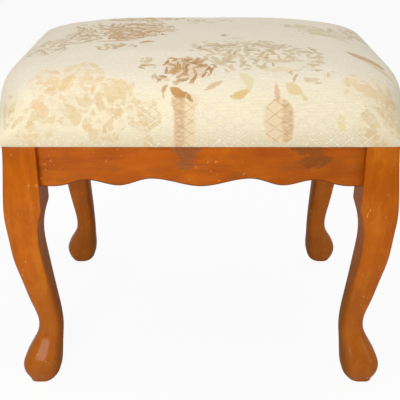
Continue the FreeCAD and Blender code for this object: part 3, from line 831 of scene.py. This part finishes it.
def stained_wood(name, kind, grain):
    """Stained and lacquered beech. Grain lines run along the piece, the stain clouds, and the
    lacquer is satin."""
    body, dark, light, cloudy = STAIN[kind]
    material, tree = new_material(name)
    place = add(tree, "TexCoord").outputs["Object"]
    x, _, z = add(tree, "SeparateXYZ", {0: place}).outputs
    facing_x, _, facing_z = add(tree, "SeparateXYZ", {0: add(tree, "NewGeometry").outputs["Normal"]}).outputs
    clouds, warp, knocks, where = mottling(tree, place, (
        (along_grain(26, 44, grain), 4, 0.6, (2, 5, 3)),
        (along_grain(60, 260, grain), 2, 0.5, (0, 0, 0)),
        ((3.4, 3.4, 5), 2, 0.6, (12, 3, 7)),
        ((38, 38, 38), 1, 0.5, (6, 1, 4))))
    sway = add(tree, "Math", {0: warp, 1: GRAIN_SWAY}, operation="MULTIPLY")
    swayed = add(tree, "VectorMath", {0: place, 1: sway}, operation="ADD")
    figure, fibre, pores = mottling(tree, swayed, (
        (along_grain(12, 90, grain), 3, 0.55, (0, 0, 0)),
        (along_grain(1.6, 30, grain), 3, 0.65, (4, 1, 9)),
        (along_grain(1.0, 8, grain), 2, 0.6, (1, 8, 2))))
    layers = [
        (figure, 0.36, 0.7, 0.7, dark),
        (fibre, 0.5, 0.72, 0.3, light),
        (fibre, 0.48, 0.3, 0.3, dark),
        (pores, 0.62, 0.74, 0.35, "#7E3C08"),
        (clouds, 0.5, 0.68, 0.6, light),
        (clouds, 0.5, 0.3, cloudy, dark)]

    # Painted shade: the legs are browner and darker low down, and the long aprons darker to the right, where
    # less light falls
    if kind == "leg":
        layers.append((z, 0.22, 0.03, 0.5, "#9A5A20"))
    elif grain == "x":
        layers.append((x, -0.02, 0.18, 0.35, "#9C4A00"))
    colour = body
    for pattern, start, full, share, shade in layers:
        amount = add(tree, "MapRange", {0: pattern, 1: start, 2: full, 4: share}, **SMOOTH)
        colour = add(tree, "Mix", {0: amount, 6: colour, 7: shade}, **COLOURS)

    # Grime and painted shade on the downward-facing rounding of the scalloped edges, and a painted shadow
    # just under the seat
    if kind == "apron":
        rounding = add(tree, "MapRange", {0: facing_z, 1: -0.04, 2: -0.4}, **SMOOTH)
        under_seat = add(tree, "MapRange", {
            0: z, 1: SEAT_BOTTOM - 5 * MM, 2: SEAT_BOTTOM - 2 * MM, 4: 0.8}, **SMOOTH)
        edges = add(tree, "Math", {0: rounding, 1: under_seat}, operation="MAXIMUM")
        patchy = add(tree, "MapRange", {0: clouds, 1: 0.3, 2: 0.6, 3: 0.5, 4: 0.85}, **SMOOTH)
        grime_and_shade = add(tree, "Math", {0: edges, 1: patchy}, operation="MULTIPLY")
        colour = add(tree, "Mix", {0: grime_and_shade, 6: colour, 7: "#4E2A0E"}, **COLOURS)

    # Faces that look to the stool's middle are duller, and darker by painted shade
    side = add(tree, "Math", {0: x}, operation="SIGN")
    outward = add(tree, "Math", {0: side, 1: facing_x}, operation="MULTIPLY")
    inward = add(tree, "MapRange", {0: outward, 1: -0.35, 2: -0.85, 4: 0.4}, **SMOOTH)
    colour = add(tree, "Mix", {0: inward, 6: colour, 7: "#6E3C00"}, **COLOURS)

    # Small knocks show paler wood
    knocked = add(tree, "MapRange", {0: knocks, 1: 0.67, 2: 0.72}, **SMOOTH)
    often = add(tree, "MapRange", {0: where, 1: 0.45, 2: 0.6}, **SMOOTH)
    chip = add(tree, "Math", {0: knocked, 1: often}, operation="MULTIPLY")
    opacity = add(tree, "Math", {0: chip, 1: 0.8}, operation="MULTIPLY")
    colour = add(tree, "Mix", {0: opacity, 6: colour, 7: "#D89A58"}, **COLOURS)

    open_pores = add(tree, "MapRange", {0: pores, 1: 0.62, 2: 0.74}, **SMOOTH)
    dips = [(chip, -0.6), (open_pores, -0.5)]
    rough = add(tree, "MapRange", {0: clouds, 1: 0.3, 2: 0.7, 3: 0.22, 4: 0.34}, **SMOOTH)
    rough = add(tree, "Math", {0: rough, 1: inward}, operation="ADD")
    if kind == "apron" and grain == "x":
        colour, wear = worn_apron(tree, place, colour)
        rough = add(tree, "Math", {0: wear, 1: 0.3, 2: rough}, operation="MULTIPLY_ADD")
        dips.append((wear, -0.4))
    height = add(tree, "Math", {0: fibre, 1: 0.5}, operation="MULTIPLY")
    for part, rise in dips:
        height = add(tree, "Math", {0: part, 1: rise, 2: height}, operation="MULTIPLY_ADD")
    bump = add(tree, "Bump", {"Height": height, "Strength": 0.3, "Distance": 0.3 * MM})
    surface = add(tree, "BsdfPrincipled", {
        "Base Color": colour, "Normal": bump, "Roughness": rough, "Specular IOR Level": 0.03,
        "Coat Weight": 0.22, "Coat Roughness": 0.17})
    add(tree, "OutputMaterial", {"Surface": surface})
    return material


# Places on the long aprons, in millimetres: middle X, middle Z, half width, half height, strength
RUBBED_THROUGH = (
    (-22, 317, 11, 12, 1.0),
    (-6, 320, 11, 9, 1.0),
    (-15, 308, 11, 11, 1.0),
    (-18, 297, 12, 9, 0.95),
    (44, 318, 10, 7, 0.55),
)
SCUFFED = (
    (120, 318, 24, 10, 0.9),
    (128, 302, 20, 12, 0.85),
    (112, 296, 20, 8, 0.6),
    (-100, 300, 30, 8, 0.3),
)
STRAY_WIDTH = 26 * MM
STRAY_HEIGHT = 15.6 * MM
SCRATCH_SLANT = math.radians(-9)


def worn_patches(tree, spot, patches):
    """The strongest of some soft round patches at each point."""
    most = 0.0
    for middle_x, middle_z, half_x, half_z, strength in patches:
        local = add(tree, "VectorMath", {
            0: spot, 1: (1 / (half_x * MM), 0, 1 / (half_z * MM)),
            2: (-middle_x / half_x, 0, -middle_z / half_z)}, operation="MULTIPLY_ADD")
        far = add(tree, "VectorMath", {0: local}, operation="LENGTH").outputs["Value"]
        part = add(tree, "MapRange", {0: far, 1: 1.25, 2: 0.55, 4: strength}, **SMOOTH)
        most = add(tree, "Math", {0: most, 1: part}, operation="MAXIMUM")
    return most


def worn_apron(tree, place, colour):
    """Rubbed and scuffed patches on the front apron, where the stain has gone and the wood is grey.
    Gives the colour, and how worn each point is."""
    x, y, z = add(tree, "SeparateXYZ", {0: place}).outputs
    stray_x, stray_z, ragged, fine, film, region = mottling(tree, place, (
        ((14, 14, 9), 3, 0.7, (5, 2, 6)),
        ((14, 14, 9), 3, 0.7, (11, 2, 6)),
        ((4, 4, 3), 4, 0.7, (3, 3, 3)),
        ((2.6, 2.6, 1.8), 3, 0.75, (8, 3, 5)),
        ((34, 34, 7), 3, 0.6, (1, 7, 3)),
        ((70, 70, 26), 1, 0.5, (9, 2, 5))))
    fronts = add(tree, "MapRange", {0: y, 1: 0.0, 2: -0.05}, **SMOOTH)

    # The patches' outlines stray at random
    strayed = []
    for part, stray, reach in ((x, stray_x, STRAY_WIDTH), (z, stray_z, STRAY_HEIGHT)):
        shift = add(tree, "Math", {0: stray, 1: reach, 2: -reach / 2}, operation="MULTIPLY_ADD")
        strayed.append(add(tree, "Math", {0: part, 1: shift}, operation="ADD"))
    spot = add(tree, "CombineXYZ", {0: strayed[0], 2: strayed[1]})
    rubbed = add(tree, "Math", {0: worn_patches(tree, spot, RUBBED_THROUGH), 1: fronts}, operation="MULTIPLY")
    scuffed = add(tree, "Math", {0: worn_patches(tree, spot, SCUFFED), 1: fronts}, operation="MULTIPLY")

    # Bare brown wood with grey specks, then brown smears
    through = add(tree, "Math", {0: rubbed, 1: 0.66, 2: fine}, operation="MULTIPLY_ADD")
    through = add(tree, "MapRange", {0: through, 1: 0.86, 2: 1.12}, **SMOOTH)
    speck = add(tree, "MapRange", {0: fine, 1: 0.6, 2: 0.68}, **SMOOTH)
    speckled = add(tree, "Math", {0: through, 1: speck}, operation="MULTIPLY")
    smear = add(tree, "Math", {0: ragged, 1: 1.6, 2: scuffed}, operation="MULTIPLY_ADD")
    smear = add(tree, "MapRange", {0: smear, 1: 1.2, 2: 1.8}, **SMOOTH)

    # A dull film, and long shallow scratches that slant a little to the grain
    filmed = add(tree, "MapRange", {0: film, 1: 0.52, 2: 0.72}, **SMOOTH)
    filmed = add(tree, "Math", {0: filmed, 1: fronts}, operation="MULTIPLY")
    slant = add(tree, "Mapping", {
        "Vector": place, "Scale": per_patch(42, 60, 2.2), "Rotation": (0, SCRATCH_SLANT, 0)})
    lines = add(tree, "TexNoise", {"Vector": slant, "Scale": 1.0, "Detail": 2.0, "Roughness": 0.6})
    scratch = add(tree, "MapRange", {0: lines, 1: 0.66, 2: 0.72}, **SMOOTH)
    often = add(tree, "MapRange", {0: region, 1: 0.45, 2: 0.6}, **SMOOTH)
    scratch = add(tree, "Math", {0: scratch, 1: often}, operation="MULTIPLY")
    scratch = add(tree, "Math", {0: scratch, 1: fronts}, operation="MULTIPLY")
    for part, share, shade in (
            (through, 0.55, "#7A5230"),
            (speckled, 0.7, "#9C8878"),
            (smear, 0.7, "#74441A"),
            (filmed, 0.45, "#8A5618"),
            (scratch, 0.6, "#7A4420")):
        opacity = add(tree, "Math", {0: part, 1: share}, operation="MULTIPLY")
        colour = add(tree, "Mix", {0: opacity, 6: colour, 7: shade}, **COLOURS)
    smeared = add(tree, "Math", {0: smear, 1: 0.6}, operation="MULTIPLY")
    return colour, add(tree, "Math", {0: through, 1: smeared}, operation="MAXIMUM")


def bare_wood(name, pale, dark, grain):
    """Sawn wood without a finish, with open grain and the marks of the saw."""
    material, tree = new_material(name)
    place = add(tree, "TexCoord").outputs["Object"]
    figure, fibre = mottling(tree, place, (
        (along_grain(7, 120, grain), 3, 0.6, (0, 0, 0)),
        (along_grain(1.4, 25, grain), 3, 0.6, (2, 2, 7))))
    colour = pale
    for pattern, start, full, share in ((figure, 0.35, 0.65, 1.0), (fibre, 0.5, 0.7, 0.5)):
        amount = add(tree, "MapRange", {0: pattern, 1: start, 2: full, 4: share}, **SMOOTH)
        colour = add(tree, "Mix", {0: amount, 6: colour, 7: dark}, **COLOURS)
    bump = add(tree, "Bump", {"Height": fibre, "Strength": 0.5, "Distance": 0.3 * MM})
    surface = add(tree, "BsdfPrincipled", {"Base Color": colour, "Normal": bump, "Roughness": 0.75})
    add(tree, "OutputMaterial", {"Surface": surface})
    return material


PLIES = 2.4 * MM


def birch_plywood():
    """Rotary-cut birch plywood, with its plies in dark and pale lines on the edge."""
    material, tree = new_material("rotary_cut_birch_plywood")
    place = add(tree, "TexCoord").outputs["Object"]
    figure, = mottling(tree, place, (((140, 11, 140), 3, 0.55, (0, 0, 0)),))
    mottled = add(tree, "MapRange", {0: figure, 1: 0.35, 2: 0.65}, **SMOOTH)
    colour = add(tree, "Mix", {0: mottled, 6: "#DCC190", 7: "#C4A26C"}, **COLOURS)
    _, _, level = add(tree, "SeparateXYZ", {0: place}).outputs
    layers = add(tree, "Math", {0: level, 1: PLIES}, operation="DIVIDE")
    layer = add(tree, "Math", {0: layers}, operation="FRACT")
    dark_ply = add(tree, "Math", {0: layer, 1: 0.5}, operation="GREATER_THAN")
    _, _, facing_z = add(tree, "SeparateXYZ", {0: add(tree, "NewGeometry").outputs["Normal"]}).outputs
    flat = add(tree, "Math", {0: facing_z}, operation="ABSOLUTE")
    edge = add(tree, "MapRange", {0: flat, 1: 0.5, 2: 0.2}, **SMOOTH)
    shown = add(tree, "Math", {0: dark_ply, 1: edge}, operation="MULTIPLY")
    colour = add(tree, "Mix", {0: shown, 6: colour, 7: "#9C7646"}, **COLOURS)
    surface = add(tree, "BsdfPrincipled", {"Base Color": colour, "Roughness": 0.7})
    add(tree, "OutputMaterial", {"Surface": surface})
    return material


def zinc_steel():
    """Zinc-plated steel wire and screws, dulled by handling."""
    material, tree = new_material("zinc_plated_steel_dull")
    place = add(tree, "TexCoord").outputs["Object"]
    spots, = mottling(tree, place, (((2.5, 2.5, 2.5), 3, 0.6, (0, 0, 0)),))
    dulled = add(tree, "MapRange", {0: spots, 1: 0.35, 2: 0.7}, **SMOOTH)
    colour = add(tree, "Mix", {0: dulled, 6: "#C9C9C4", 7: "#9A9890"}, **COLOURS)
    rough = add(tree, "MapRange", {0: spots, 1: 0.3, 2: 0.7, 3: 0.32, 4: 0.5}, **SMOOTH)
    surface = add(tree, "BsdfPrincipled", {"Base Color": colour, "Roughness": rough, "Metallic": 1.0})
    add(tree, "OutputMaterial", {"Surface": surface})
    return material


def black_cambric():
    """Spun-bonded black dust cover cloth, thin and matt, with pressed dots 3 mm apart."""
    material, tree = new_material("spun_bonded_black_dust_cloth")
    place = add(tree, "TexCoord").outputs["Object"]
    fibres, = mottling(tree, place, (((1.5, 1.5, 1.5), 3, 0.7, (0, 0, 0)),))
    mapped = add(tree, "Mapping", {"Vector": place, "Scale": per_patch(3, 3, 3)})
    dots = add(tree, "TexVoronoi", {"Vector": mapped, "Scale": 1.0, "Randomness": 0.1},
               voronoi_dimensions="2D", feature="F1").outputs["Distance"]
    fibrous = add(tree, "MapRange", {0: fibres, 1: 0.35, 2: 0.7}, **SMOOTH)
    colour = add(tree, "Mix", {0: fibrous, 6: "#1B1B1C", 7: "#2E2D2D"}, **COLOURS)
    pressed = add(tree, "MapRange", {0: dots, 1: 0.22, 2: 0.14, 4: 0.6}, **SMOOTH)
    colour = add(tree, "Mix", {0: pressed, 6: colour, 7: "#101010"}, **COLOURS)
    bump = add(tree, "Bump", {"Height": dots, "Strength": 0.3, "Distance": 0.2 * MM})
    surface = add(tree, "BsdfPrincipled", {"Base Color": colour, "Normal": bump, "Roughness": 0.92})
    add(tree, "OutputMaterial", {"Surface": surface})
    return material


def finish_node(name, material):
    """Gives a CAD node's object one material on all its slots."""
    slots = nodes[name].material_slots
    if len(slots) == 0:
        nodes[name].data.materials.append(material)
        return
    for slot in slots:
        slot.material = material


leg_wood = stained_wood("stained_beech_leg_satin_lacquer", "leg", "z")
long_apron_wood = stained_wood("stained_beech_long_apron_satin_lacquer", "apron", "x")
side_apron_wood = stained_wood("stained_beech_side_apron_satin_lacquer", "apron", "y")
block_wood = bare_wood("sawn_pine_block", "#D9B982", "#B98F56", "x")
for corner in ("front_left", "front_right", "rear_left", "rear_right"):
    finish_node("leg_" + corner, leg_wood)
    finish_node("corner_block_" + corner, block_wood)
for side in ("front", "rear"):
    finish_node("apron_" + side, long_apron_wood)
for side in ("left", "right"):
    finish_node("apron_" + side, side_apron_wood)
finish_node("apron_dowels", bare_wood("turned_beech_dowel", "#D8B48A", "#BE9568", "x"))
finish_node("seat_board", birch_plywood())
steel = zinc_steel()
for name in ("corner_block_screws", "seat_screws", "cover_staples", "dust_cover_staples"):
    finish_node(name, steel)


# Dust cover: one sheet stapled under the frame, slack between its staples

DUST_HALF_WIDTH = 191.5 * MM
DUST_HALF_DEPTH = 138.5 * MM
DUST_LEVEL = 325.2 * MM
DUST_SAG = 1.4 * MM
DUST_THICKNESS = 0.4 * MM
TAUT_EDGE = 30 * MM

# On the straight cut across a corner, X and Y add up to this
DUST_CORNER_SUM = 308 * MM

# Puckers between the staples: height, and their length along X and Y
PUCKER = 0.25 * MM
PUCKER_LENGTHS = (14 * MM, 17 * MM)


def dust_sheet():
    """Thin cloth under the frame, taut at its edges and a little slack between them."""
    deselect_all()
    bpy.ops.mesh.primitive_grid_add(
        x_subdivisions=64, y_subdivisions=46, size=2, location=(0, 0, DUST_LEVEL))
    piece = named("dust_cover_sheet")
    for vertex in piece.data.vertices:
        vertex.co = (vertex.co.x * DUST_HALF_WIDTH, vertex.co.y * DUST_HALF_DEPTH, 0)
    bpy.ops.object.transform_apply(location=True, rotation=False, scale=False)

    # The corners are cut off straight at the posts
    for sign_x in (-1, 1):
        for sign_y in (-1, 1):
            make_active(piece)
            bpy.ops.object.mode_set(mode="EDIT")
            bpy.ops.mesh.select_all(action="SELECT")
            reach = DUST_CORNER_SUM - DUST_HALF_DEPTH
            bpy.ops.mesh.bisect(
                plane_co=(sign_x * reach, sign_y * DUST_HALF_DEPTH, DUST_LEVEL),
                plane_no=(sign_x, sign_y, 0), clear_outer=True)
            bpy.ops.object.mode_set(mode="OBJECT")
    for vertex in piece.data.vertices:
        x, y = vertex.co.x, vertex.co.y
        from_edge = min(DUST_HALF_WIDTH - abs(x), DUST_HALF_DEPTH - abs(y))
        slack = min(1.0, from_edge / TAUT_EDGE)
        pucker = PUCKER * math.sin(x / PUCKER_LENGTHS[0]) * math.sin(y / PUCKER_LENGTHS[1])
        vertex.co.z = DUST_LEVEL - slack * (DUST_SAG + pucker)
    make_active(piece)
    wall = piece.modifiers.new("thickness", "SOLIDIFY")
    wall.thickness = DUST_THICKNESS
    wall.offset = 0
    bpy.ops.object.modifier_apply(modifier="thickness")
    bpy.ops.object.shade_smooth()
    piece.data.materials.append(black_cambric())
    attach(piece, "root")
    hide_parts("dust_cover")


dust_sheet()

cushion.data.materials.append(floral_jacquard())
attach(cushion, "root")
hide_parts("seat_cover", "seat_batting", "seat_foam")


# Camera, at the photograph's place and tilt

CAMERA_PLACE = (0, -0.82505, 0.56429)
TILT_DOWN = math.radians(24.907)

scene = bpy.context.scene
scene.view_settings.view_transform = "Standard"
camera_data = bpy.data.cameras.new("camera")
camera_data.lens = 57.97
camera_data.sensor_width = 36
camera_data.shift_x = -0.0025
camera = bpy.data.objects.new("camera", camera_data)
camera.location = CAMERA_PLACE
camera.rotation_euler = (math.pi / 2 - TILT_DOWN, 0, 0)
scene.collection.objects.link(camera)
scene.camera = camera


# Room: a white backdrop and floor, and soft light on the stool

AMBIENT = 0.22
FLOOR_LIFT = 0.93
FLOOR_SIZE = 8


def white_world():
    """White to the camera. Reflections see white behind and above the stool and a dim room in
    front, and as a light the room is dim all round."""
    world = bpy.data.worlds.new("studio")
    scene.world = world
    world.use_nodes = True
    tree = world.node_tree
    tree.nodes.clear()
    rays = add(tree, "LightPath").outputs
    way = add(tree, "TexCoord").outputs["Generated"]
    _, backwards, upwards = add(tree, "SeparateXYZ", {0: way}).outputs
    behind = add(tree, "MapRange", {0: backwards, 1: -0.35, 2: 0.15}, **SMOOTH)
    above = add(tree, "MapRange", {0: upwards, 1: 0.35, 2: 0.8}, **SMOOTH)
    white = add(tree, "Math", {0: behind, 1: above}, operation="MAXIMUM")
    white = add(tree, "Math", {0: white, 1: rays["Is Camera Ray"]}, operation="MAXIMUM")
    seen = add(tree, "Math", {
        0: rays["Is Camera Ray"], 1: rays["Is Transmission Ray"]}, operation="MAXIMUM")
    seen = add(tree, "Math", {0: seen, 1: rays["Is Glossy Ray"]}, operation="MAXIMUM")
    seen = add(tree, "Math", {0: seen, 1: white}, operation="MULTIPLY")
    strength = add(tree, "Math", {0: seen, 1: 1 - AMBIENT, 2: AMBIENT}, operation="MULTIPLY_ADD")
    light = add(tree, "Background", {"Color": "#FFFFFF", "Strength": strength})
    add(tree, "OutputWorld", {"Surface": light})


def white_floor():
    """A matt white paper sheet. Most of what the camera sees of it is lifted to white, and the
    stool's shadow stays."""
    deselect_all()
    bpy.ops.mesh.primitive_plane_add(size=FLOOR_SIZE, location=(0, 0, 0))
    sheet = named("floor")
    material, tree = new_material("matt_white_paper_floor")
    paper = add(tree, "BsdfPrincipled", {"Base Color": "#F2F2F2", "Roughness": 0.9})
    glow = add(tree, "Emission", {"Color": "#FFFFFF", "Strength": 1.0})
    seen = add(tree, "LightPath").outputs["Is Camera Ray"]
    share = add(tree, "Math", {0: seen, 1: FLOOR_LIFT}, operation="MULTIPLY")
    surface = add(tree, "MixShader", {0: share, 1: paper, 2: glow})
    add(tree, "OutputMaterial", {"Surface": surface})
    sheet.data.materials.append(material)


def soft_light(name, place, aim, size, watts):
    """A softbox of a width and height, turned to what it aims at."""
    data = bpy.data.lights.new(name, "AREA")
    data.shape = "RECTANGLE"
    data.size, data.size_y = size
    data.energy = watts
    light = bpy.data.objects.new(name, data)
    light.location = place
    light.rotation_euler = (Vector(aim) - Vector(place)).to_track_quat("-Z", "Y").to_euler()
    scene.collection.objects.link(light)


white_world()
white_floor()
soft_light("front_softbox", (-0.3, -1.2, 0.8), (0, 0, 0.27), (0.5, 0.35), 5.6)
soft_light("tall_window", (-0.42, -1.15, 0.5), (-0.1, 0, 0.1), (0.14, 0.42), 2.0)
soft_light("left_softbox", (-0.9, -0.4, 1.3), (-0.05, -0.05, 0.2), (0.5, 0.5), 1.8)
soft_light("right_softbox", (1.3, -1.3, 0.7), (0, 0, 0.25), (0.9, 0.9), 4)
soft_light("top_softbox", (0.1, 0.1, 2.0), (0, 0, 0.35), (1.5, 1.5), 17)
